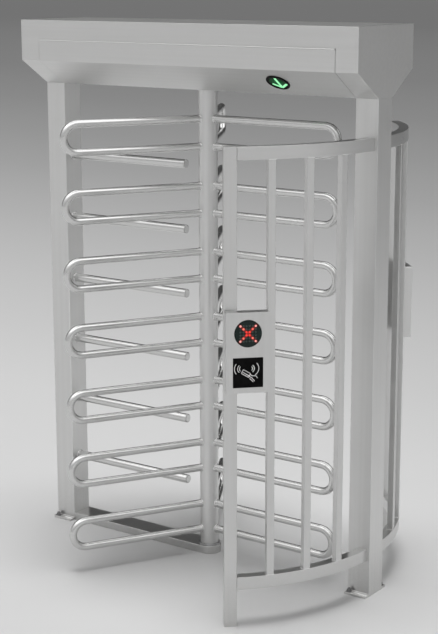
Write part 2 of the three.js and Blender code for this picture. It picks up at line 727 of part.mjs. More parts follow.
function cage(prefix, side) {
  const group = assembly(
    cageRail(`${prefix}_cage_top_rail`, side, CAGE_TOP),
    cageRail(`${prefix}_cage_bottom_rail`, side, LOWER_RAIL_TOP),
    endPost(prefix, side),
    reader(prefix, side),
  );
  for (let bar = 1; bar <= CAGE_BAR_COUNT; bar += 1) {
    group.add(cageBar(prefix, side, bar));
  }
  return group;
}

const turnstile = assembly(
  post('left_post', -1),
  post('right_post', 1),
  baseBeam(),
  bottomBearing(),
  comb(),
  rotor(),
  canopy(),
  cage('front', -1),
  cage('rear', 1),
);
turnstile.name = 'full_height_turnstile';

export default turnstile;
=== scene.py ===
"""Full height turnstile: the finished looks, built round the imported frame, in metres."""

import math

import bpy
from mathutils import Matrix, Vector


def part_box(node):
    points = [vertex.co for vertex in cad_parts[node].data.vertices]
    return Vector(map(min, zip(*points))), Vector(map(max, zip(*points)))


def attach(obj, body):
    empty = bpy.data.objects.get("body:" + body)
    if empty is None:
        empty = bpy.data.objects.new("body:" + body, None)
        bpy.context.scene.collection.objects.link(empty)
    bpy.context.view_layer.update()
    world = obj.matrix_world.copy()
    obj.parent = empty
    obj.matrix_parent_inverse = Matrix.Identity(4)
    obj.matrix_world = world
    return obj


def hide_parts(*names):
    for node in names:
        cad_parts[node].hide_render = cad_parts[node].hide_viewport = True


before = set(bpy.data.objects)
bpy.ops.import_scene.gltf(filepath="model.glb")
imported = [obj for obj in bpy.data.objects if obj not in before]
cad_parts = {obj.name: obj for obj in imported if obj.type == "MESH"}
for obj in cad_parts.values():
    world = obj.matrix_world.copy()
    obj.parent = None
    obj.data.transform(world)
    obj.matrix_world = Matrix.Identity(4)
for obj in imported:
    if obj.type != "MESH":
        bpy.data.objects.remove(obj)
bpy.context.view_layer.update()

MILLIMETRE = 0.001
RIGHT_ANGLE = math.radians(90)

# The two ways through, and which side of the rotor's axis each is on along Y
SIDES = (("front", -1), ("rear", 1))

# Where the photograph was taken from
CAMERA_PLACE = Vector((3.79648, -5.20627, 2.49802))
CAMERA_YAW = math.radians(35.71)
CAMERA_PITCH = math.radians(12.61)
CAMERA_ROLL = math.radians(-0.13)
CAMERA_LENS = 87.55
CAMERA_SENSOR = 36.0

# The studio's floor and light; each tone is a place between 0 and 1 and its grey
FLOOR_SIZE = 320.0
FLOOR_NEAR = -1.0
FLOOR_FAR = 60.0
# Painted shade: the floor's grey darkens with distance behind the object, for the studio's light falling off.
FLOOR_SHADE_TONES = (
    (0.0, 0.62),
    (0.025, 0.63),
    (0.043, 0.61),
    (0.064, 0.55),
    (0.093, 0.485),
    (0.128, 0.407),
    (0.18, 0.32),
    (0.236, 0.265),
    (0.32, 0.213),
    (0.459, 0.171),
    (1.0, 0.128),
)
FRONT_TONES = ((0.0, 0.26), (0.3, 0.28), (0.5, 0.36), (0.75, 0.8), (0.85, 1.0), (0.97, 0.62))
BACK_TONES = ((0.0, 0.03), (0.5, 0.03), (0.7, 0.08), (0.82, 0.9), (0.97, 0.62))
BACK_WAY = (-0.584, 0.812, 0.0)
BACK_START = 0.3
BACK_END = 0.6
STUDIO_LEVEL = 2.0
AMBIENT_LEVEL = 0.15
TOP_LIGHT_LEVEL = 2.9
TOP_LIGHT_SPREAD = math.radians(30)
TOP_LIGHT_HEIGHT = 5.0

# How finely round forms are drawn
ARM_SIDES = 28
BEND_STEPS = 14
COLUMN_SIDES = 96
COMB_SIDES = 48
DISC_SIDES = 72
BOLT_SIDES = 24
LAMP_SIDES = 16
BEAD_SIDES = 12
NUT_SIDES = 6
ARM_WELD_STEPS = 36
COMB_WELD_STEPS = 40
WELD_SIDES = 8
RAIL_STEPS = 44
WAVE_STEPS = 16

# Rounded edges, welds and gaps
SHEET_EDGE = 0.0012
MACHINED_EDGE = 0.0006
TURNED_EDGE = 0.0004
FINE_EDGE = 0.0003
WELD = 0.003
CLEAR = 0.0003

# What counts as one point, as one plane, as facing up, as a smooth turn and as the height of a post
ONE_POINT = 0.00002
ONE_PLANE = math.radians(0.5)
FACING_UP = 0.9
SMOOTH_TURN = math.radians(38)
LONG_EDGE = 1.0

# The rotor
COLUMN_LOW, COLUMN_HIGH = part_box("rotor_column")
COLUMN_RADIUS = COLUMN_HIGH.x
COLUMN_WALL = 0.003
ARM_LOW, ARM_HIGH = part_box("rotor_arm_a1")
ARM_TUBE = (ARM_HIGH.y - ARM_LOW.y) / 2
ARM_SINK = 0.0005
ARM_ROWS = 7
WING_STEP = 120

# The comb
COMB_LOW, COMB_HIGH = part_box("comb_bar_1")
COMB_ROUNDING = 0.004
COMB_ROWS = 6

# The posts, the beam between them and their anchor bolts
POST_DEEP = 0.052
FOOT_PLATE = 0.01
POST_EDGE = 0.001
POST_BEAD = WELD * 0.8
BEAM_EDGE = 0.0015
ANCHOR_INSET = 0.015
ANCHOR_ACROSS = 0.067
WASHER_TOP = 0.0025
WASHER_RADIUS = 0.011
WASHER_STEPS = ((0.003, 0.0),)
NUT_TOP = 0.0105
NUT_RADIUS = 0.0092
NUT_STEPS = ((0.0009, 0.0006),)
STUD_TOP = 0.016
STUD_RADIUS = 0.005
STUD_STEPS = ((0.0012, 0.0008),)

# The canopy's folded sheet, its doors and their lenses
CANOPY_LOW, CANOPY_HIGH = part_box("canopy_casing")
DOOR_LOW, DOOR_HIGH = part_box("front_access_door")
LENS_LOW, LENS_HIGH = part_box("front_direction_lens")
SHEET = 0.003
BEVEL_TOP = 2.129
BEVEL_LEAN = math.atan2(BEVEL_TOP - CANOPY_LOW.z, CANOPY_HIGH.y - POST_DEEP)
CUT_EDGE = 0.0005
HINGE_HEIGHT = 2.215
HINGE_RADIUS = 0.003
KNUCKLES = 25
LANDING = 0.012
LENS_RADIUS = 0.05
LENS_DEPTH = 0.007
LENS_PROUD = 0.003
HOLE_REACH = 0.03
BEZEL_RISE = 0.0012
BEZEL_STEPS = ((0.0006, BEZEL_RISE), (0.003, 0.0), (0.0006, -0.0014))
WINDOW_INSET = 0.0044
WINDOW_LOW = 0.0004
WINDOW_HIGH = 0.0014
WINDOW_CROWN = ((0.008, 0.0004), (0.01, 0.0003), (0.01, 0.0002))
ARROW_HEIGHT = 0.0012
ARROW_THICKNESS = 0.0016
ARROW_HALF = 0.0052
ARROW_STRIPS = (((3, 34), (3, -33)), ((-29, -8), (3, -35)), ((37, -8), (3, -35)))

# The lock: the bearing's bolts, the plate with its pivot studs and the solenoids
BEARING_EDGE = 0.001
BEARING_BOLT_INSET = 0.014
BEARING_FLANGE = 0.008
LOCK_SHEET = 0.005
LOCK_HOLE = 0.0436
PIVOT_ALONG = 0.128
PIVOT_ACROSS = 0.03
PIVOT_SINK = 0.001
PIVOT_RADIUS = 0.014
PIVOT_SHOULDER = 2.0717
PIVOT_STEPS = ((0.008, 0.0), (0.0, 0.0123), (0.0, 0.0))
PIVOT_NUT_LOW = 2.0845
PIVOT_NUT_HIGH = 2.0885
PIVOT_NUT_RADIUS = 0.0085
PIVOT_NUT_STEPS = ((0.002, 0.0012),)
SOLENOID_LENGTH = 0.062
SOLENOID_HALF = 0.02
YOKE_SHEET = 0.003
YOKE_LAP = 0.002
COIL_INSET = 0.004
COIL_RADIUS = 0.0145
COIL_EDGE = 0.001
CHEEK_START = 0.0032
CHEEK_END = 0.0052
CHEEK_RADIUS = 0.0165
PLUNGER_OUT = 0.008
PLUNGER_IN = 0.01
PLUNGER_RADIUS = 0.0045
COLLAR_START = 0.0022
COLLAR_END = 0.0006
COLLAR_RADIUS = 0.0075

# The cages
CAGE_RADIUS = 0.83
RAIL_DEPTH = 0.04
RAIL_RADIUS = CAGE_RADIUS - RAIL_DEPTH / 2
RAIL_CORNER = 0.001
RAIL_START = math.radians(2)
END_POST_TURN = math.radians(48.3)
END_POST_HALF = 0.025
END_POST_EDGE = 0.0025
BAR_EDGE = 0.002
BAR_HALF_WIDTH = 0.015
BAR_HALF_DEPTH = 0.0125
BAR_WELD = 0.0018
BAR_WELD_EDGE = 0.0012

# The card readers
READER_LOW, READER_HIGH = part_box("front_reader_housing")
DISPLAY_LOW, DISPLAY_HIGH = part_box("front_status_display")
PAD_LOW, PAD_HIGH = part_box("front_reader_pad")
READER_TURN = math.radians(44.217)
READER_HALF = 0.084
READER_FACE = (READER_HIGH.x - READER_HALF * math.sin(READER_TURN)) / math.cos(READER_TURN)
READER_EDGE = 0.0009
INSERT_PROUD = 0.001
DISPLAY_DEPTH = 0.007
DISPLAY_RIM = 0.0004
DISPLAY_STEPS = ((0.0022, 0.0), (DISPLAY_RIM, -0.0006))
CROSS_WIDTH = 0.013
CROSS_REACH = 0.07
LAMP_PITCH = 0.0116
LAMP_RADIUS = LAMP_PITCH * 0.36
LAMP_RISE = 0.0004
LAMP_STEPS = ((0.0012, 0.0005), (0.0014, 0.0002))
LAMP_EDGE = 0.0001
LAMP_ROWS = 6
LAMP_RINGS = ("inner", "middle", "outer")
PAD_DEPTH = 0.008
PAD_EDGE = 0.0008
SIGN_EDGE = 0.0001
SIGN_HALF = 0.0013
SIGN_RAISED = 0.0003
SCREW_ALONG = 0.055
SCREW_BACK = 0.02
SCREW_RISE = 0.0016
SCREW_RADIUS = 0.004
SCREW_STEPS = ((0.0009, 0.0006), (0.0012, 0.0), (0.0, -0.0008))
SCREW_EDGE = 0.0002

# The pad's sign in millimetres and degrees: each wave's centre, radius, start, sweep and width, then the
# two ends of each line of the card and the hand
SIGN_WAVES = (
    (8, 16, 9, -55, 110, 2.6),
    (8, 16, 16, -55, 110, 3.4),
    (12, 16, 29, -60, 105, 2.6),
    (-22, 16, 11, 130, 100, 2.6),
    (-22, 16, 18, 130, 100, 2.6),
    (-22, 16, 30, 140, 80, 2.6),
)
SIGN_CARD = (
    ((-26, -1), (2, -18)),
    ((-18, 13), (9, -3)),
    ((-26, -1), (-18, 13)),
    ((2, -18), (9, -3)),
    ((-23, 5), (4, -12)),
)
SIGN_HAND = (
    ((-1, -10), (14, -20)),
    ((6, -6), (16, -12)),
    ((14, -20), (25, -33)),
    ((16, -12), (30, -13)),
    ((6, -22), (20, -36)),
    ((30, -13), (36, -22)),
)

# How the steel's brushing and dust look
TUBE_ROUGHNESS = 0.22
GRAIN_STRETCH = (0.02, 1.0, 1.0)
GRAIN_DEPTH = 0.0002
BRIGHT_BANDS = (1.03, 1.03, 1.025)
DULL_BANDS = (0.95, 0.95, 0.94)
POLISH_SHARE = 0.4
DUST_COLOUR = (0.42, 0.41, 0.39)
DUST_SHARE = 0.35


# Objects

def rest():
    """Leaves nothing selected, in object mode."""
    if bpy.context.object and bpy.context.object.mode != "OBJECT":
        bpy.ops.object.mode_set(mode="OBJECT")
    bpy.ops.object.select_all(action="DESELECT")


def hold(*pieces):
    """Leaves only these pieces selected, with the first one active."""
    rest()
    for piece in pieces:
        piece.select_set(True)
    bpy.context.view_layer.objects.active = pieces[0]


def primitive(add, stretch=None, **settings):
    """Adds a primitive on its own and moves its place, turn and scale into its mesh."""
    rest()
    add(**settings)
    piece = bpy.context.object
    if stretch:
        piece.scale = stretch
    hold(piece)
    bpy.ops.object.transform_apply(location=True, rotation=True, scale=True)
    return piece


def modify(piece, kind, **settings):
    """Adds a modifier and applies it."""
    hold(piece)
    modifier = piece.modifiers.new(kind.lower(), kind)
    for setting, value in settings.items():
        setattr(modifier, setting, value)
    bpy.ops.object.modifier_apply(modifier=modifier.name)


def ease(piece, width, segments=2, degrees=30):
    """Rounds every edge that is sharper than an angle."""
    limit = math.radians(degrees)
    modify(piece, "BEVEL", width=width, segments=segments, limit_method="ANGLE", angle_limit=limit)


def open_edit(piece):
    """Goes into edit mode with the whole piece selected."""
    hold(piece)
    bpy.ops.object.mode_set(mode="EDIT")
    bpy.ops.mesh.select_all(action="SELECT")


def close_edit():
    """Goes back into object mode."""
    bpy.ops.object.mode_set(mode="OBJECT")


def clear_picks(piece, kind):
    """Leaves nothing of a piece selected, ready to select faces or edges in object mode."""
    hold(piece)
    bpy.ops.object.mode_set(mode="EDIT")
    bpy.ops.mesh.select_mode(type=kind)
    bpy.ops.mesh.select_all(action="DESELECT")
    bpy.ops.object.mode_set(mode="OBJECT")


def pick_faces(piece, test):
    """Goes into edit mode with only the faces that pass the test selected."""
    clear_picks(piece, "FACE")
    for face in piece.data.polygons:
        face.select = test(face)
    bpy.ops.object.mode_set(mode="EDIT")


def pick_edges(piece, test):
    """Goes into edit mode with only the edges whose two ends pass the test selected."""
    clear_picks(piece, "EDGE")
    corners = piece.data.vertices
    for edge in piece.data.edges:
        edge.select = test(*(corners[index].co for index in edge.vertices))
    bpy.ops.object.mode_set(mode="EDIT")


def round_edges(piece, test, width, segments):
    """Rounds the edges whose two ends pass the test."""
    pick_edges(piece, test)
    bpy.ops.mesh.bevel(offset=width, segments=segments, affect="EDGES")
    close_edit()


def long_edge(first, second):
    """Whether an edge runs the height of a post or bar."""
    return abs(first.z - second.z) > LONG_EDGE


def smooth(piece):
    """Smooth shading that leaves the large faces flat."""
    hold(piece)
    bpy.ops.object.shade_smooth_by_angle(angle=SMOOTH_TURN)
    modify(piece, "WEIGHTED_NORMAL", keep_sharp=True)
    return piece


def join(first, *others):
    """Joins pieces into the first one."""
    hold(first, *others)
    bpy.ops.object.join()
    return first


def discard(piece):
    """Throws a piece away."""
    bpy.data.objects.remove(piece, do_unlink=True)


def carve(piece, tool):
    """Cuts a tool out of a piece and throws the tool away."""
    modify(piece, "BOOLEAN", operation="DIFFERENCE", object=tool, solver="EXACT")
    discard(tool)


def halve(piece, point, normal):
    """Cuts away what lies past a plane and closes the cut."""
    open_edit(piece)
    bpy.ops.mesh.bisect(plane_co=point, plane_no=normal, use_fill=True, clear_outer=True)
    close_edit()


def twin(piece, matrix):
    """A copy of a piece with its own mesh, moved by a matrix."""
    copy = piece.copy()
    copy.data = piece.data.copy()
    bpy.context.scene.collection.objects.link(copy)
    copy.data.transform(matrix)
    return copy


def settle(piece, name, body, slot, finish, *nodes):
    """Names a finished piece, gives it its finish and says what it rides on and stands for."""
    piece.name = name
    piece.data.name = name
    piece.data.materials.clear()
    piece.data.materials.append(finish)
    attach(piece, body)
    if nodes:
        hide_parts(*nodes)


# Plain forms that the pieces start from

def slab(low, high, corner, segments=3):
    """A block between two corners with every edge rounded."""
    size = [top - bottom for bottom, top in zip(low, high)]
    middle = [(top + bottom) / 2 for bottom, top in zip(low, high)]
    piece = primitive(bpy.ops.mesh.primitive_cube_add, size=1, location=middle, scale=size)
    ease(piece, corner, segments)
    return smooth(piece)


def round_bar(start, end, radius, rounding, sides):
    """A round bar between two points with its end edges rounded."""
    start = Vector(start)
    along = Vector(end) - start
    piece = primitive(
        bpy.ops.mesh.primitive_cylinder_add,
        vertices=sides,
        radius=radius,
        depth=along.length,
        location=start + along / 2,
        rotation=along.to_track_quat("Z", "Y").to_euler(),
    )
    if rounding:
        ease(piece, rounding, segments=3, degrees=60)
    return smooth(piece)


def turned(low, high, radius, steps, edge, sides=DISC_SIDES):
    """A turned piece along Z: a disc whose top is drawn in and raised step by step."""
    piece = primitive(
        bpy.ops.mesh.primitive_cylinder_add,
        vertices=sides,
        radius=radius,
        depth=high - low,
        location=(0, 0, (low + high) / 2),
    )
    pick_faces(piece, lambda face: face.normal.z > FACING_UP)
    for inset, rise in steps:
        bpy.ops.mesh.inset(thickness=inset)
        bpy.ops.mesh.extrude_region_move(TRANSFORM_OT_translate={"value": (0, 0, rise)})
    close_edit()
    ease(piece, edge)
    return smooth(piece)


def dress(node, width=0.0):
    """A copy of the frame's own piece with its doubles merged and its edges rounded."""
    piece = bpy.data.objects.new(node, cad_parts[node].data.copy())
    bpy.context.scene.collection.objects.link(piece)
    open_edit(piece)
    bpy.ops.mesh.remove_doubles(threshold=ONE_POINT)
    bpy.ops.mesh.dissolve_limited(angle_limit=ONE_PLANE)
    close_edit()
    if width:
        ease(piece, width, degrees=25)
    return smooth(piece)


def spun_arc(radius, width, height, start, sweep, steps, corner=0.0):
    """A bar of rectangular section, width across by height along Z, spun round the Z axis."""
    piece = primitive(
        bpy.ops.mesh.primitive_plane_add,
        stretch=(width, height, 1),
        size=1,
        location=(radius, 0, 0),
        rotation=(RIGHT_ANGLE, 0, 0),
    )
    open_edit(piece)
    if corner:
        bpy.ops.mesh.bevel(offset=corner, segments=3, affect="VERTICES")
        bpy.ops.mesh.select_all(action="SELECT")
    bpy.ops.transform.rotate(value=-start, orient_axis="Z", center_override=(0, 0, 0))
    bpy.ops.mesh.spin(steps=steps, angle=-sweep, center=(0, 0, 0), axis=(0, 0, 1))
    bpy.ops.mesh.select_all(action="SELECT")
    bpy.ops.mesh.remove_doubles(threshold=ONE_POINT / 2)
    bpy.ops.mesh.select_all(action="DESELECT")
    bpy.ops.mesh.select_mode(type="EDGE")
    bpy.ops.mesh.select_non_manifold()
    bpy.ops.mesh.fill_holes(sides=0)
    bpy.ops.mesh.select_all(action="SELECT")
    bpy.ops.mesh.normals_make_consistent(inside=False)
    close_edit()
    return smooth(piece)


def strip(start, end, half_width, low, high, corner, segments):
    """A flat strip of an arrow or sign, between two points given in millimetres."""
    start = Vector((*start, 0)) * MILLIMETRE
    along = Vector((*end, 0)) * MILLIMETRE - start
    piece = slab((0, -half_width, low), (along.length, half_width, high), corner, segments)
    turn = Vector((1, 0, 0)).rotation_difference(along).to_matrix().to_4x4()
    piece.data.transform(Matrix.Translation(start) @ turn)
    return piece


def ring_bead(radius, place, steps):
    """A weld bead round a tube that runs along X."""
    return primitive(
        bpy.ops.mesh.primitive_torus_add,
        major_radius=radius,
        minor_radius=WELD,
        major_segments=steps,
        minor_segments=WELD_SIDES,
        location=place,
        rotation=(0, RIGHT_ANGLE, 0),
    )


# Shader nodes

class Tree:
    """A tree of shader nodes with short ways to add to it."""

    def __init__(self, tree):
        self.tree = tree
        self.nodes = tree.nodes

    def feed(self, node, sockets):
        """Links a node's sockets to other nodes' outputs, or sets them to plain values."""
        for name, value in sockets.items():
            socket = node.inputs[name]
            if isinstance(value, bpy.types.NodeSocket):
                self.tree.links.new(value, socket)
            elif socket.type == "RGBA":
                socket.default_value = (*value, 1.0)
            else:
                socket.default_value = value
        return node

    def add(self, kind, sockets=(), **settings):
        """Adds a node with its settings, and feeds its sockets, given by name or number."""
        node = self.nodes.new(kind)
        for setting, value in settings.items():
            setattr(node, setting, value)
        return self.feed(node, dict(sockets))

    def split(self, place):
        """A place's X, Y and Z."""
        return self.add("ShaderNodeSeparateXYZ", {0: place}).outputs

    def count(self, operation, *numbers):
        """A sum on one or two numbers."""
        return self.add("ShaderNodeMath", enumerate(numbers), operation=operation).outputs[0]

    def noise(self, place, scale, detail=2.0, roughness=0.5, distortion=0.0):
        """A cloudy value between 0 and 1."""
        sockets = {"Vector": place, "Scale": scale, "Detail": detail, "Roughness": roughness}
        return self.add("ShaderNodeTexNoise", {**sockets, "Distortion": distortion}).outputs["Fac"]

    def spread(self, value, low, high, start=0.0, end=1.0, way="LINEAR"):
        """Maps a value from the range between start and end to the one between low and high."""
        sockets = {"Value": value, "From Min": start, "From Max": end, "To Min": low, "To Max": high}
        return self.add("ShaderNodeMapRange", sockets, interpolation_type=way).outputs["Result"]

    def mix(self, share, first, second):
        """Mixes two colours, which a Mix node takes in sockets 6 and 7 and gives in socket 2."""
        return self.add("ShaderNodeMix", {0: share, 6: first, 7: second}, data_type="RGBA").outputs[2]

    def ramp(self, value, tones):
        """Turns a value into grey tones, given as pairs of place and tone."""
        node = self.add("ShaderNodeValToRGB", {"Fac": value})
        steps = node.color_ramp.elements
        for place, tone in tones[2:]:
            steps.new(place)
        for step, (place, tone) in zip(steps, tones):
            step.position = place
            step.color = (tone, tone, tone, 1.0)
        return node.outputs["Color"]


class Effect(Tree):
    """A node group that several finishes share: it takes a place and a number and gives values."""

    def __init__(self, name, number, value):
        super().__init__(bpy.data.node_groups.new(name, "ShaderNodeTree"))
        self.new_socket = self.tree.interface.new_socket
        self.new_socket("Place", in_out="INPUT", socket_type="NodeSocketVector")
        self.new_socket(number, in_out="INPUT", socket_type="NodeSocketFloat").default_value = value
        given = self.add("NodeGroupInput").outputs
        self.place = given["Place"]
        self.number = given[number]

    def give(self, **values):
        """Gives the values out of the group."""
        for name in values:
            self.new_socket(name, in_out="OUTPUT", socket_type="NodeSocketFloat")
        self.add("NodeGroupOutput", values)
        return self.tree


def brushed_grain():
    """Fine drawn lines along X of the place given, and longer, fainter bands among them."""
    grain = Effect("brushed grain", "Lines", 1400.0)
    drawn = grain.add("ShaderNodeVectorMath", {0: grain.place, 1: GRAIN_STRETCH}, operation="MULTIPLY")
    lines = grain.noise(drawn.outputs[0], grain.number, detail=3.0, roughness=0.6)
    return grain.give(Grain=lines, Bands=grain.noise(drawn.outputs[0], scale=60.0))


def handling_marks():
    """Soft, irregular patches where hands and cloths have passed."""
    marks = Effect("handling marks", "Size", 6.0)
    patches = marks.noise(marks.place, marks.number, detail=5.0, roughness=0.55, distortion=0.4)
    return marks.give(Marks=marks.spread(patches, 0.0, 1.0, start=0.35, end=0.7, way="SMOOTHSTEP"))


def floor_dust():
    """Dust that thins out upwards from the ground."""
    dust = Effect("floor dust", "Reach", 0.25)
    fade = dust.spread(dust.split(dust.place)["Z"], 1.0, 0.0, end=dust.number)
    specks = dust.noise(dust.place, scale=90.0, detail=4.0)
    return dust.give(Dust=dust.count("MULTIPLY", fade, specks))


GRAIN = brushed_grain()
MARKS = handling_marks()
DUST = floor_dust()


# Finishes

class Finish(Tree):
    """A material with a Principled shader."""

    def __init__(self, name, colour, roughness, metallic=0.0):
        self.material = bpy.data.materials.new(name)
        self.material.use_nodes = True
        super().__init__(self.material.node_tree)
        self.shader = self.nodes["Principled BSDF"]
        self.coat({"Base Color": colour, "Metallic": metallic, "Roughness": roughness})
        self.place = self.add("ShaderNodeTexCoord").outputs["Object"]

    def coat(self, sockets):
        """Feeds the shader's sockets and gives the material."""
        self.feed(self.shader, sockets)
        return self.material

    def effect(self, group, place=None, **numbers):
        """Puts a shared effect on the material and gives its outputs."""
        sockets = {"Place": place or self.place, **numbers}
        return self.add("ShaderNodeGroup", sockets, node_tree=group).outputs

    def moved_place(self, turn, shift=(0, 0, 0)):
        """The place turned and shifted, such as to lay its X along the grain."""
        sockets = {"Vector": self.place, "Rotation": turn, "Location": shift}
        return self.add("ShaderNodeMapping", sockets).outputs["Vector"]

    def wrapped_place(self, radius):
        """The place unrolled round the Z axis, so that its X runs round the arc."""
        place = self.split(self.place)
        along = self.count("MULTIPLY", self.count("ARCTAN2", place["Y"], place["X"]), radius)
        return self.add("ShaderNodeCombineXYZ", {"X": along, "Y": place["Z"]}).outputs[0]

    def relief(self, height, strength, distance):
        """Raises the surface by a height between 0 and 1."""
        bump = self.add("ShaderNodeBump", {"Height": height, "Strength": strength, "Distance": distance})
        self.coat({"Normal": bump.outputs["Normal"]})


def brushed_steel(
    name, turn=(0, 0, 0), wrap=None, tone=0.68, roughness=0.33, depth=0.12, swing=0.05, wear=0.05
):
    """Satin stainless steel with its grain along one direction or round the rotor's axis."""
    steel = Finish(name, (tone, tone, tone), roughness, metallic=1.0)
    grain = steel.effect(GRAIN, steel.wrapped_place(wrap) if wrap else steel.moved_place(turn))
    bright, dull = ([tone * channel for channel in bands] for bands in (BRIGHT_BANDS, DULL_BANDS))
    drawn = steel.mix(grain["Bands"], bright, dull)
    dust = steel.spread(steel.effect(DUST)["Dust"], 0.0, DUST_SHARE)
    lines = steel.spread(grain["Grain"], roughness - swing, roughness + swing)
    marks = steel.spread(steel.effect(MARKS)["Marks"], -wear * POLISH_SHARE, wear)
    steel.relief(grain["Grain"], strength=depth, distance=GRAIN_DEPTH)
    return steel.coat({
        "Base Color": steel.mix(dust, drawn, DUST_COLOUR),
        "Roughness": steel.count("ADD", lines, marks),
    })


def machined_steel(name, tone, roughness):
    """Plain turned, plated or blackened steel with fine marks."""
    steel = Finish(name, (tone, tone, tone), roughness, metallic=1.0)
    marks = steel.effect(MARKS, Size=40.0)["Marks"]
    steel.relief(marks, strength=0.1, distance=0.0003)
    return steel.coat({
        "Base Color": steel.mix(marks, (tone, tone, tone * 1.02), (tone * 0.8,) * 3),
        "Roughness": steel.spread(marks, roughness, roughness + 0.12),
    })


def moulded_plastic(name, colour, roughness, gloss=0.4):
    """Plastic with the fine even grain of a mould."""
    plastic = Finish(name, colour, roughness)
    marks = plastic.effect(MARKS, Size=30.0)["Marks"]
    paler = [channel * 1.3 + 0.004 for channel in colour]
    plastic.relief(plastic.noise(plastic.place, scale=1800.0), strength=0.15, distance=0.0001)
    return plastic.coat({
        "Specular IOR Level": gloss,
        "Base Color": plastic.mix(marks, colour, paler),
        "Roughness": plastic.spread(marks, roughness, roughness + 0.08),
    })


def lamp(name, bright, dull):
    """A lit lens, brighter in soft patches."""
    lit = Finish(name, [channel * 0.2 for channel in dull], roughness=0.3)
    marks = lit.effect(MARKS, Size=120.0)["Marks"]
    return lit.coat({"Emission Color": lit.mix(marks, bright, dull), "Emission Strength": 1.0})


def ring_mask(window, place, reach):
    """One in the middle of a window and nothing at its rim."""
    length = window.add("ShaderNodeVectorMath", {0: place}, operation="LENGTH").outputs["Value"]
    return window.spread(length, 1.0, 0.0, end=reach, way="SMOOTHSTEP")


def cross_mask(window, place, reach):
    """One along a window's two diagonals, fading away from them and towards the rim."""
    sides = window.split(place)
    gap = window.count("SUBTRACT", *(window.count("ABSOLUTE", sides[axis]) for axis in ("X", "Y")))
    fade = window.spread(window.count("ABSOLUTE", gap), 1.0, 0.0, end=reach, way="SMOOTHSTEP")
    return window.count("MULTIPLY", fade, ring_mask(window, place, CROSS_REACH))


def lit_window(name, place, reach, glow, dark, mask):
    """A smoked window at a place, lit from behind where a mask says."""
    window = Finish(name, dark, roughness=0.18)
    back = place.inverted()
    share = mask(window, window.moved_place(back.to_euler(), back.to_translation()), reach)
    marks = window.effect(MARKS, Size=30.0)["Marks"]
    paler = [channel * 1.2 + 0.002 for channel in dark]
    return window.coat({
        "Specular IOR Level": 0.08,
        "Emission Color": window.mix(share, (0.0, 0.0, 0.0), glow),
        "Emission Strength": 1.0,
        "Base Color": window.mix(marks, dark, paler),
        "Roughness": window.spread(marks, 0.12, 0.24),
    })


def floor_finish():
    """A pale studio floor with painted shade: its colour darkens with distance behind the object, as the
    studio's light would fall off.
    """
    floor = Finish("studio floor", (0.62, 0.62, 0.62), roughness=0.45)
    depth = floor.spread(floor.split(floor.place)["Y"], 0.0, 1.0, start=FLOOR_NEAR, end=FLOOR_FAR)
    return floor.coat({"Specular IOR Level": 0.15, "Base Color": floor.ramp(depth, FLOOR_SHADE_TONES)})


# The studio

def backdrop():
    """The floor, and a world whose tones show in the steel while matt surfaces get a plain faint light."""
    floor = primitive(bpy.ops.mesh.primitive_plane_add, size=FLOOR_SIZE, location=(0, 0, 0))
    floor.name = "studio_floor"
    floor.data.materials.append(floor_finish())

    world = bpy.data.worlds.new("studio")
    bpy.context.scene.world = world
    world.use_nodes = True
    studio = Tree(world.node_tree)
    way = studio.add("ShaderNodeTexCoord").outputs["Generated"]
    height = studio.split(way)["Z"]
    away = studio.add("ShaderNodeVectorMath", {0: way, 1: BACK_WAY}, operation="DOT_PRODUCT").outputs["Value"]
    behind = studio.spread(away, 0.0, 1.0, start=BACK_START, end=BACK_END, way="SMOOTHSTEP")
    tones = studio.mix(behind, studio.ramp(height, FRONT_TONES), studio.ramp(height, BACK_TONES))
    seen = studio.feed(studio.nodes["Background"], {"Color": tones, "Strength": STUDIO_LEVEL})
    ambient = studio.add("ShaderNodeBackground", {"Color": (1.0, 1.0, 1.0), "Strength": AMBIENT_LEVEL})
    diffuse = studio.add("ShaderNodeLightPath").outputs["Is Diffuse Ray"]
    choice = studio.add("ShaderNodeMixShader", {0: diffuse, 1: seen.outputs[0], 2: ambient.outputs[0]})
    studio.feed(studio.nodes["World Output"], {"Surface": choice.outputs[0]})


def top_light():
    """A broad light straight overhead that the steel doesn't mirror."""
    data = bpy.data.lights.new("overhead light", "SUN")
    data.energy = TOP_LIGHT_LEVEL
    data.angle = TOP_LIGHT_SPREAD
    light = bpy.data.objects.new("overhead light", data)
    bpy.context.scene.collection.objects.link(light)
    light.location = (0.0, 0.0, TOP_LIGHT_HEIGHT)
    light.visible_glossy = False


def viewpoint():
    """The camera at the photograph's viewing angle."""
    data = bpy.data.cameras.new("camera")
    data.sensor_width = CAMERA_SENSOR
    data.sensor_fit = "AUTO"
    data.lens = CAMERA_LENS
    camera = bpy.data.objects.new("camera", data)
    bpy.context.scene.collection.objects.link(camera)
    camera.matrix_world = (
        Matrix.Translation(CAMERA_PLACE)
        @ Matrix.Rotation(CAMERA_YAW, 4, "Z")
        @ Matrix.Rotation(RIGHT_ANGLE - CAMERA_PITCH, 4, "X")
        @ Matrix.Rotation(CAMERA_ROLL, 4, "Z")
    )
    bpy.context.scene.camera = camera
    bpy.context.scene.view_settings.view_transform = "Standard"


# Rotor

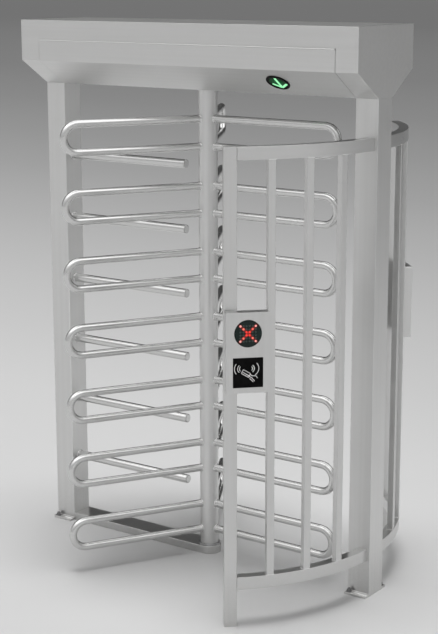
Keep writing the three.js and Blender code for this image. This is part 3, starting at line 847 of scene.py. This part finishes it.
def arm_tube(start, reach, top, bottom):
    """A U-shaped arm along +X: a circle drawn out, spun round the bend and drawn back."""
    middle = (top + bottom) / 2
    bend = (top - bottom) / 2
    bend_start = reach - ARM_TUBE - bend
    piece = primitive(
        bpy.ops.mesh.primitive_circle_add,
        vertices=ARM_SIDES,
        radius=ARM_TUBE,
        fill_type="NGON",
        location=(start, 0, top),
        rotation=(0, RIGHT_ANGLE, 0),
    )
    open_edit(piece)
    bpy.ops.mesh.extrude_region_move(TRANSFORM_OT_translate={"value": (bend_start - start, 0, 0)})
    bpy.ops.mesh.spin(steps=BEND_STEPS, angle=-math.pi, center=(bend_start, 0, middle), axis=(0, 1, 0))
    bpy.ops.mesh.extrude_region_move(TRANSFORM_OT_translate={"value": (start - bend_start, 0, 0)})
    bpy.ops.mesh.select_all(action="SELECT")
    bpy.ops.mesh.normals_make_consistent(inside=False)
    close_edit()
    return smooth(piece)


def saddle_weld(height):
    """A weld bead round an arm's tube where it meets the column along +X."""
    bead = ring_bead(ARM_TUBE, (COLUMN_RADIUS, 0, height), ARM_WELD_STEPS)
    rim = COLUMN_RADIUS * 0.99
    for corner in bead.data.vertices:
        across = min(abs(corner.co.y), rim)
        corner.co.x -= COLUMN_RADIUS - math.sqrt(COLUMN_RADIUS**2 - across**2)
    return smooth(bead)


def rotor():
    """The column, its arms and the cam that the lock pawls work on."""
    column = primitive(
        bpy.ops.mesh.primitive_cylinder_add,
        vertices=COLUMN_SIDES,
        radius=COLUMN_RADIUS,
        depth=COLUMN_HIGH.z - COLUMN_LOW.z,
        location=(0, 0, (COLUMN_HIGH.z + COLUMN_LOW.z) / 2),
        end_fill_type="NOTHING",
    )
    modify(column, "SOLIDIFY", thickness=COLUMN_WALL, offset=-1)
    smooth(column)
    settle(column, "column_tube", "rotor", "stainless", STEEL_UP, "rotor_column")

    top = ARM_HIGH.z - ARM_TUBE
    bottom = ARM_LOW.z + ARM_TUBE
    start = math.sqrt(COLUMN_RADIUS**2 - ARM_TUBE**2) - ARM_SINK
    pattern = join(arm_tube(start, ARM_HIGH.x, top, bottom), saddle_weld(top), saddle_weld(bottom))
    for wing, letter in enumerate("abc"):
        angle = math.radians(WING_STEP * wing)
        turn = Matrix.Rotation(angle, 4, "Z")
        name = f"brushed steel along wing {letter}"
        finish = brushed_steel(name, turn=(0, 0, -angle), roughness=TUBE_ROUGHNESS)
        for row in range(1, ARM_ROWS + 1):
            node = f"rotor_arm_{letter}{row}"
            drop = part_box(node)[1][2] - ARM_HIGH.z
            arm = twin(pattern, turn @ Matrix.Translation((0, 0, drop)))
            settle(arm, f"arm_{letter}{row}", "rotor", "stainless", finish, node)
    discard(pattern)

    cam = dress("index_cam", MACHINED_EDGE)
    settle(cam, "cam_plate", "rotor", "dark_steel", BLACK_STEEL, "index_cam")


# Comb

def comb():
    """Straight bars with rounded free ends, welded to the left post."""
    height = (COMB_LOW.z + COMB_HIGH.z) / 2
    radius = (COMB_HIGH.z - COMB_LOW.z) / 2
    foot = (COMB_LOW.x - CLEAR, 0, height)
    tip = (COMB_HIGH.x, 0, height)
    bar = round_bar(foot, tip, radius, 0, COMB_SIDES)
    round_edges(bar, lambda first, second: min(first.x, second.x) > COMB_HIGH.x - CLEAR, COMB_ROUNDING, 4)
    smooth(bar)
    pattern = join(bar, smooth(ring_bead(radius, foot, COMB_WELD_STEPS)))
    for row in range(1, COMB_ROWS + 1):
        node = f"comb_bar_{row}"
        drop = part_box(node)[1][2] - COMB_HIGH.z
        copy = twin(pattern, Matrix.Translation((0, 0, drop)))
        settle(copy, f"comb_tube_{row}", "frame", "stainless", COMB_STEEL, node)
    discard(pattern)


# Posts and base

def on_plate(first, second):
    """Whether an edge lies along the top of a foot plate, outside the post's tube."""
    height = max(first.z, second.z)
    return abs(height - FOOT_PLATE) < CLEAR and min(abs(first.y), abs(second.y)) > POST_DEEP + CLEAR


def post(side):
    """A post with rounded corners and a bead along its foot plate, front and rear."""
    node = f"{side}_post"
    low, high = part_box(node)
    piece = dress(node)
    round_edges(piece, long_edge, POST_EDGE, 3)
    round_edges(piece, on_plate, SHEET_EDGE, 2)
    smooth(piece)
    for across in (-POST_DEEP, POST_DEEP):
        start = (low.x + WELD, across, FOOT_PLATE)
        end = (high.x - WELD, across, FOOT_PLATE)
        piece = join(piece, round_bar(start, end, POST_BEAD, WELD / 2, BOLT_SIDES))
    settle(piece, f"{side}_post_tube", "frame", "stainless", STEEL_UP, node)
    anchor(f"{side}_front_anchor", Vector((low.x + ANCHOR_INSET, -ANCHOR_ACROSS, FOOT_PLATE)))
    anchor(f"{side}_rear_anchor", Vector((high.x - ANCHOR_INSET, ANCHOR_ACROSS, FOOT_PLATE)))


def anchor(name, place):
    """An anchor bolt: a washer, a hexagon nut with eased corners and a domed stud end."""
    washer = turned(0, WASHER_TOP, WASHER_RADIUS, WASHER_STEPS, TURNED_EDGE, BOLT_SIDES)
    nut = turned(WASHER_TOP, NUT_TOP, NUT_RADIUS, NUT_STEPS, TURNED_EDGE, NUT_SIDES)
    stud = turned(WASHER_TOP, STUD_TOP, STUD_RADIUS, STUD_STEPS, FINE_EDGE, BOLT_SIDES)
    fixing = join(washer, nut, stud)
    fixing.data.transform(Matrix.Translation(place))
    settle(fixing, name, "frame", "zinc_plate", DARK_ZINC)


def base():
    """The beam on the ground and the bearing that the column stands on."""
    beam = dress("base_beam", BEAM_EDGE)
    settle(beam, "ground_beam", "frame", "stainless", SHADED_STEEL_ALONG, "base_beam")
    foot = dress("bottom_bearing", MACHINED_EDGE)
    settle(foot, "foot_bearing", "frame", "bearing_steel", TURNED_STEEL, "bottom_bearing")


# Canopy

def lens_place(side):
    """Where a lens lies: X and Y in its window, Z square out of it."""
    middle = (LENS_LOW + LENS_HIGH) / 2
    out = Vector((0, side * math.sin(BEVEL_LEAN), -math.cos(BEVEL_LEAN)))
    up = Vector((0, side * math.cos(BEVEL_LEAN), math.sin(BEVEL_LEAN)))
    turn = Matrix((up.cross(out), up, out)).transposed().to_4x4()
    centre = Vector((middle.x, side * (CANOPY_HIGH.y + POST_DEEP) / 2, (BEVEL_TOP + CANOPY_LOW.z) / 2))
    return Matrix.Translation(centre) @ turn


def bent_strip(side, start, end, inset):
    """A strip of sheet drawn down, then in under the canopy, and given its wall."""
    bend = BEVEL_TOP + inset * math.tan((RIGHT_ANGLE - BEVEL_LEAN) / 2)
    height = HINGE_HEIGHT - bend
    run = CANOPY_HIGH.y - inset + DOOR_HIGH.y
    piece = primitive(
        bpy.ops.mesh.primitive_plane_add,
        stretch=(end - start, height, 1),
        size=1,
        location=((start + end) / 2, side * (CANOPY_HIGH.y - inset), HINGE_HEIGHT - height / 2),
        rotation=(RIGHT_ANGLE, 0, 0),
    )
    pick_edges(piece, lambda first, second: max(first.z, second.z) < bend + CLEAR)
    under = (0, -side * run, -run * math.tan(BEVEL_LEAN))
    bpy.ops.mesh.extrude_region_move(TRANSFORM_OT_translate={"value": under})
    bpy.ops.mesh.select_all(action="SELECT")
    bpy.ops.mesh.normals_make_consistent(inside=False)
    close_edit()
    if piece.data.polygons[0].normal.y * side < 0:
        open_edit(piece)
        bpy.ops.mesh.flip_normals()
        close_edit()
    round_edges(
        piece,
        lambda first, second: max(abs(first.z - bend), abs(second.z - bend)) < CLEAR,
        SHEET_EDGE,
        4,
    )
    modify(piece, "SOLIDIFY", thickness=SHEET, offset=-1, use_even_offset=True)
    return piece


def door_sheet(side):
    """The sheet of a door, with its hole for the lens."""
    piece = bent_strip(side, DOOR_LOW.x, DOOR_HIGH.x, 0)
    hole = round_bar((0, 0, -HOLE_REACH), (0, 0, HOLE_REACH), LENS_RADIUS + CLEAR, 0, DISC_SIDES)
    hole.data.transform(lens_place(side))
    carve(piece, hole)
    ease(piece, CUT_EDGE, degrees=40)
    return smooth(piece)


def hinge_knuckles(side, first):
    """Every second knuckle of a piano hinge, from the first or the second on."""
    pitch = (DOOR_HIGH.x - DOOR_LOW.x) / KNUCKLES
    centre = (side * CANOPY_HIGH.y, HINGE_HEIGHT)
    knuckles = []
    for place in range(first, KNUCKLES, 2):
        start = DOOR_LOW.x + place * pitch + CLEAR
        end = start + pitch - 2 * CLEAR
        knuckles.append(round_bar((start, *centre), (end, *centre), HINGE_RADIUS, TURNED_EDGE, BOLT_SIDES))
    return knuckles


def direction_lens(prefix, side):
    """A black bezel, a smoked window that glows in the middle and a lit arrow down it."""
    place = lens_place(side)
    bezel = turned(-LENS_DEPTH, LENS_PROUD - BEZEL_RISE, LENS_RADIUS, BEZEL_STEPS, FINE_EDGE)
    window = turned(WINDOW_LOW, WINDOW_HIGH, LENS_RADIUS - WINDOW_INSET, WINDOW_CROWN, FINE_EDGE)
    arrow = join(*(
        strip(start, end, ARROW_HALF, 0, ARROW_THICKNESS, ARROW_THICKNESS / 3, 2)
        for start, end in ARROW_STRIPS
    ))
    arrow.data.transform(Matrix.Translation((0, 0, ARROW_HEIGHT)))
    name = f"{prefix} lens window"
    glow = (0.0, 0.085, 0.02)
    glass = lit_window(name, place, LENS_RADIUS, glow, dark=(0.001, 0.002, 0.001), mask=ring_mask)
    for piece, part, finish in (
        (bezel, "bezel", BLACK_GLASS), (window, "window", glass), (arrow, "arrow", GREEN_LAMP),
    ):
        piece.data.transform(place)
        node = f"{prefix}_direction_lens"
        settle(piece, f"{prefix}_lens_{part}", f"{prefix}_door", "green_lens", finish, node)


def canopy():
    """The casing, its two doors with their hinges and lenses, and what they cover."""
    casing = dress("canopy_casing", SHEET_EDGE)
    for side in (-1, 1):
        for start in (DOOR_LOW.x - LANDING, DOOR_HIGH.x - LANDING):
            landing = bent_strip(side, start, start + 2 * LANDING, SHEET + CLEAR)
            casing = join(casing, smooth(landing))
    settle(casing, "canopy_shell", "frame", "stainless", CANOPY_STEEL, "canopy_casing")
    for prefix, side in SIDES:
        node = f"{prefix}_access_door"
        sheet = join(door_sheet(side), *hinge_knuckles(side, 0))
        settle(sheet, f"{prefix}_door_sheet", f"{prefix}_door", "stainless", CANOPY_STEEL, node)
        fixed = join(*hinge_knuckles(side, 1))
        settle(fixed, f"{prefix}_hinge_barrel", "frame", "stainless", CANOPY_STEEL)
        direction_lens(prefix, side)


def lock():
    """The top bearing with its bolts, the lock plate, the solenoids and the two pawls."""
    bearing = dress("top_bearing", BEARING_EDGE)
    settle(bearing, "column_bearing", "frame", "bearing_steel", TURNED_STEEL, "top_bearing")
    low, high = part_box("top_bearing")
    inset = BEARING_BOLT_INSET
    for column, along in enumerate((low.x + inset, high.x - inset)):
        for row, across in enumerate((low.y + inset, high.y - inset)):
            anchor(f"bearing_bolt_{column}{row}", Vector((along, across, low.z + BEARING_FLANGE)))

    low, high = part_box("lock_plate")
    plate = slab(low, (high.x, high.y, low.z + LOCK_SHEET), SHEET_EDGE)
    floor = low.z + LOCK_SHEET
    carve(plate, round_bar((0, 0, low.z - LOCK_SHEET), (0, 0, floor + LOCK_SHEET), LOCK_HOLE, 0, DISC_SIDES))
    smooth(plate)
    stud = join(
        turned(floor - PIVOT_SINK, PIVOT_SHOULDER, PIVOT_RADIUS, PIVOT_STEPS, MACHINED_EDGE),
        turned(PIVOT_NUT_LOW, PIVOT_NUT_HIGH, PIVOT_NUT_RADIUS, PIVOT_NUT_STEPS, TURNED_EDGE, NUT_SIDES),
    )
    places = [Matrix.Translation((side * PIVOT_ALONG, side * PIVOT_ACROSS, 0)) for side in (-1, 1)]
    plate = join(plate, *(twin(stud, place) for place in places))
    discard(stud)
    settle(plate, "lock_base", "frame", "zinc_plate", ZINC, "lock_plate")
    for name, side in (("entry", -1), ("exit", 1)):
        solenoid(name, side, low, high)
        node = f"{name}_lock_pawl"
        pawl = dress(node, MACHINED_EDGE)
        settle(pawl, f"{name}_pawl_plate", f"{name}_pawl", "dark_steel", BLACK_STEEL, node)


def solenoid(name, side, low, high):
    """A solenoid on the lock plate: a bent yoke round a wound coil, with its plunger towards the pawl."""
    turn = Matrix.Rotation(0 if side > 0 else math.pi, 4, "Z")
    floor = low.z + LOCK_SHEET
    near = high.x - SOLENOID_LENGTH
    far = high.x
    middle = (floor + high.z) / 2

    def sheet(start, end, top):
        return slab((start, -SOLENOID_HALF, floor), (end, SOLENOID_HALF, top), MACHINED_EDGE)

    def rod(start, end, radius, edge):
        return round_bar((start, 0, middle), (end, 0, middle), radius, edge, DISC_SIDES)

    yoke = join(
        sheet(near, near + YOKE_SHEET, high.z),
        sheet(far - YOKE_SHEET, far, high.z),
        sheet(near + YOKE_LAP, far - YOKE_LAP, floor + YOKE_SHEET),
    )
    coil = join(
        rod(near + COIL_INSET, far - COIL_INSET, COIL_RADIUS, COIL_EDGE),
        rod(near + CHEEK_START, near + CHEEK_END, CHEEK_RADIUS, TURNED_EDGE),
        rod(far - CHEEK_END, far - CHEEK_START, CHEEK_RADIUS, TURNED_EDGE),
    )
    plunger = join(
        rod(near - PLUNGER_OUT, near + PLUNGER_IN, PLUNGER_RADIUS, MACHINED_EDGE),
        rod(near - COLLAR_START, near - COLLAR_END, COLLAR_RADIUS, TURNED_EDGE),
    )
    for piece, part, finish in (
        (yoke, "yoke", ZINC), (coil, "coil", BLACK_PLASTIC), (plunger, "plunger", TURNED_STEEL),
    ):
        piece.data.transform(turn)
        settle(piece, f"{name}_solenoid_{part}", "frame", "zinc_plate", finish)


# Cages

def upright(node, name, edge):
    """A straight bar of a cage with its long edges rounded."""
    piece = dress(node)
    round_edges(piece, long_edge, edge, 4)
    smooth(piece)
    settle(piece, name, "frame", "stainless", SHADED_CAGE_STEEL, node)


def bar_weld(turn, radius, height):
    """A weld bead round the end of a bar of a cage."""
    reach = ((-1, -1), (1, -1), (1, 1), (-1, 1))
    corners = [
        Vector((radius + across * BAR_HALF_DEPTH, along * BAR_HALF_WIDTH, height)) for across, along in reach
    ]
    bead = join(*(
        round_bar(start, end, BAR_WELD, BAR_WELD_EDGE, BEAD_SIDES)
        for start, end in zip(corners, corners[1:] + corners[:1])
    ))
    bead.data.transform(Matrix.Rotation(turn, 4, "Z"))
    return bead


def cage_rail(prefix, side, level):
    """A curved rail from the right post to the end post, cut square at both ends."""
    node = f"{prefix}_cage_{level}_rail"
    low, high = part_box(node)
    out = Vector((math.cos(END_POST_TURN), side * math.sin(END_POST_TURN), 0))
    past = Vector((-math.sin(END_POST_TURN), side * math.cos(END_POST_TURN), 0))
    start = RAIL_START if side > 0 else -END_POST_TURN
    sweep = END_POST_TURN - RAIL_START if side > 0 else END_POST_TURN
    rail = spun_arc(RAIL_RADIUS, RAIL_DEPTH, high.z - low.z, start, sweep, RAIL_STEPS, RAIL_CORNER)
    rail.data.transform(Matrix.Translation((0, 0, (low.z + high.z) / 2)))
    halve(rail, (0, side * min(abs(low.y), abs(high.y)), 0), (0, -side, 0))
    halve(rail, out * RAIL_RADIUS - past * (END_POST_HALF + CLEAR), past)
    smooth(rail)
    settle(rail, f"{prefix}_{level}_rail", "frame", "stainless", SHADED_STEEL_ROUND, node)


def cage(prefix, side):
    """Two curved rails between the right post and the end post, with three bars between them."""
    cage_rail(prefix, side, "top")
    cage_rail(prefix, side, "bottom")
    upright(f"{prefix}_cage_end_post", f"{prefix}_end_post", END_POST_EDGE)
    for bar in (1, 2, 3):
        node = f"{prefix}_cage_bar_{bar}"
        upright(node, f"{prefix}_bar_{bar}", BAR_EDGE)
        low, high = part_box(node)
        centre = (low + high) / 2
        turn = math.atan2(centre.y, centre.x)
        radius = math.hypot(centre.x, centre.y)
        heights = (low.z - CLEAR / 2, high.z + CLEAR / 2)
        beads = join(*(bar_weld(turn, radius, height) for height in heights))
        settle(beads, f"{prefix}_bar_{bar}_welds", "frame", "stainless", STEEL_WELD)


# Card readers

def reader_place(side, height):
    """Where a reader's fitting lies: X and Y in its face, Z square out of it."""
    out = Vector((math.cos(READER_TURN), side * math.sin(READER_TURN), 0))
    up = Vector((0, 0, 1))
    turn = Matrix((up.cross(out), up, out)).transposed().to_4x4()
    return Matrix.Translation(out * READER_FACE + up * height) @ turn


def status_display(prefix, side):
    """A smoked disc with rows of small lamps, those on its diagonals lit."""
    place = reader_place(side, (DISPLAY_LOW.z + DISPLAY_HIGH.z) / 2)
    radius = (DISPLAY_HIGH.z - DISPLAY_LOW.z) / 2
    node = f"{prefix}_status_display"
    disc = turned(-DISPLAY_DEPTH, INSERT_PROUD - DISPLAY_RIM, radius, DISPLAY_STEPS, FINE_EDGE)
    disc.data.transform(place)
    name = f"{prefix} display window"
    glow = (0.3, 0.006, 0.008)
    face = lit_window(name, place, CROSS_WIDTH, glow, dark=(0.02, 0.03, 0.028), mask=cross_mask)
    settle(disc, f"{prefix}_display_window", "frame", "display_lens", face, node)
    lens = turned(0, LAMP_RISE, LAMP_RADIUS, LAMP_STEPS, LAMP_EDGE, LAMP_SIDES)
    groups = {"dark": [], "inner": [], "middle": [], "outer": []}
    spots = [spot - (LAMP_ROWS - 1) / 2 for spot in range(LAMP_ROWS)]
    for column in spots:
        for row in spots:
            across = column * LAMP_PITCH
            along = row * LAMP_PITCH
            if math.hypot(across, along) > radius - LAMP_PITCH / 2:
                continue
            group = LAMP_RINGS[int(abs(row))] if abs(column) == abs(row) else "dark"
            groups[group].append(twin(lens, place @ Matrix.Translation((across, along, 0))))
    discard(lens)
    for group, lenses in groups.items():
        name = f"{prefix}_display_lamps_{group}"
        settle(join(*lenses), name, "frame", "display_lens", LAMPS[group], node)


def card_symbol(prefix, side):
    """A black pad with a plain sign for a card held to it: a card, a hand and waves."""
    place = reader_place(side, (PAD_LOW.z + PAD_HIGH.z) / 2)
    half = (PAD_HIGH.z - PAD_LOW.z) / 2
    node = f"{prefix}_reader_pad"
    pad = slab((-half, -half, -PAD_DEPTH), (half, half, INSERT_PROUD), PAD_EDGE)
    pad.data.transform(place)
    settle(pad, f"{prefix}_pad_face", "frame", "reader_black", BLACK_GLASS, node)
    strips = []
    for across, along, radius, start, sweep, width in SIGN_WAVES:
        wave = spun_arc(
            radius * MILLIMETRE,
            width * MILLIMETRE,
            2 * SIGN_RAISED,
            math.radians(start),
            math.radians(sweep),
            WAVE_STEPS,
        )
        wave.data.transform(Matrix.Translation((across * MILLIMETRE, along * MILLIMETRE, 0)))
        strips.append(wave)
    for start, end in SIGN_CARD + SIGN_HAND:
        strips.append(strip(start, end, SIGN_HALF, -SIGN_RAISED, SIGN_RAISED, SIGN_EDGE, 1))
    sign = join(*strips)
    sign.data.transform(place @ Matrix.Translation((0, 0, INSERT_PROUD - SIGN_EDGE)))
    settle(sign, f"{prefix}_pad_sign", "frame", "reader_black", WHITE_PRINT, node)


def reader(prefix, side):
    """A folded box on the end post, with its display and pad and two screws under it."""
    node = f"{prefix}_reader_housing"
    housing = dress(node, READER_EDGE)
    settle(housing, f"{prefix}_reader_box", "frame", "stainless", SHADED_READER_STEEL, node)
    for number, along in enumerate((-SCREW_ALONG, SCREW_ALONG)):
        screw = turned(0, SCREW_RISE, SCREW_RADIUS, SCREW_STEPS, SCREW_EDGE, BOLT_SIDES)
        screw.data.transform(
            reader_place(side, READER_LOW.z)
            @ Matrix.Translation((along, 0, -SCREW_BACK))
            @ Matrix.Rotation(RIGHT_ANGLE, 4, "X")
        )
        settle(screw, f"{prefix}_reader_screw_{number}", "frame", "dark_steel", BLACK_STEEL)
    status_display(prefix, side)
    card_symbol(prefix, side)


# The finishes that the pieces share
UP = (0, RIGHT_ANGLE, 0)
STEEL_UP = brushed_steel("brushed steel upright", turn=UP)
# Painted shade: the base beam's steel has a darker tone than the other steel's 0.68.
SHADED_STEEL_ALONG = brushed_steel(
    "brushed steel along the base", tone=0.63, roughness=0.29, depth=0.04, swing=0.02, wear=0.01
)
COMB_STEEL = brushed_steel("brushed steel along the comb", roughness=TUBE_ROUGHNESS)
# Painted shade: the rails' steel has a darker tone than the other steel's 0.68.
SHADED_STEEL_ROUND = brushed_steel(
    "brushed steel round the cages",
    wrap=RAIL_RADIUS,
    tone=0.63,
    roughness=0.28,
    depth=0.02,
    swing=0.01,
    wear=0.008,
)
STEEL_WELD = brushed_steel("brushed welds", roughness=0.5)
BLACK_STEEL = machined_steel("blackened steel", tone=0.16, roughness=0.42)
TURNED_STEEL = machined_steel("turned steel", tone=0.5, roughness=0.28)
ZINC = machined_steel("zinc plated steel", tone=0.6, roughness=0.38)
# Zinc plate in a darker tone, for the anchor and bearing bolts.
DARK_ZINC = machined_steel("dark zinc", tone=0.3, roughness=0.5)
CANOPY_STEEL = brushed_steel("brushed steel of the canopy", roughness=0.36, wear=0.015)
# Painted shade: the readers' and the cages' steel have darker tones than the other steel's 0.68.
SHADED_READER_STEEL = brushed_steel("brushed steel of the readers", turn=UP, tone=0.64)
SHADED_CAGE_STEEL = brushed_steel("brushed steel of the cages", turn=UP, tone=0.645)
GREEN_LAMP = lamp("green lamp", bright=(0.42, 1.0, 0.55), dull=(0.18, 0.8, 0.32))
BLACK_PLASTIC = moulded_plastic("black plastic", (0.012, 0.012, 0.013), roughness=0.32)
BLACK_GLASS = moulded_plastic("black pad", (0.002, 0.002, 0.002), roughness=0.3, gloss=0.05)
WHITE_PRINT = moulded_plastic("white print", (0.85, 0.85, 0.85), roughness=0.4)
LAMPS = {
    "dark": moulded_plastic("unlit lamps", (0.03, 0.045, 0.04), roughness=0.25),
    "inner": lamp("red lamps", bright=(1.0, 0.05, 0.03), dull=(0.8, 0.02, 0.012)),
    "middle": lamp("light red lamps", bright=(1.0, 0.22, 0.16), dull=(0.8, 0.1, 0.07)),
    "outer": lamp("pink lamps", bright=(1.0, 0.5, 0.45), dull=(0.9, 0.25, 0.22)),
}

backdrop()
top_light()
viewpoint()
rotor()
comb()
post("left")
post("right")
base()
canopy()
lock()
for prefix, side in SIDES:
    cage(prefix, side)
    reader(prefix, side)
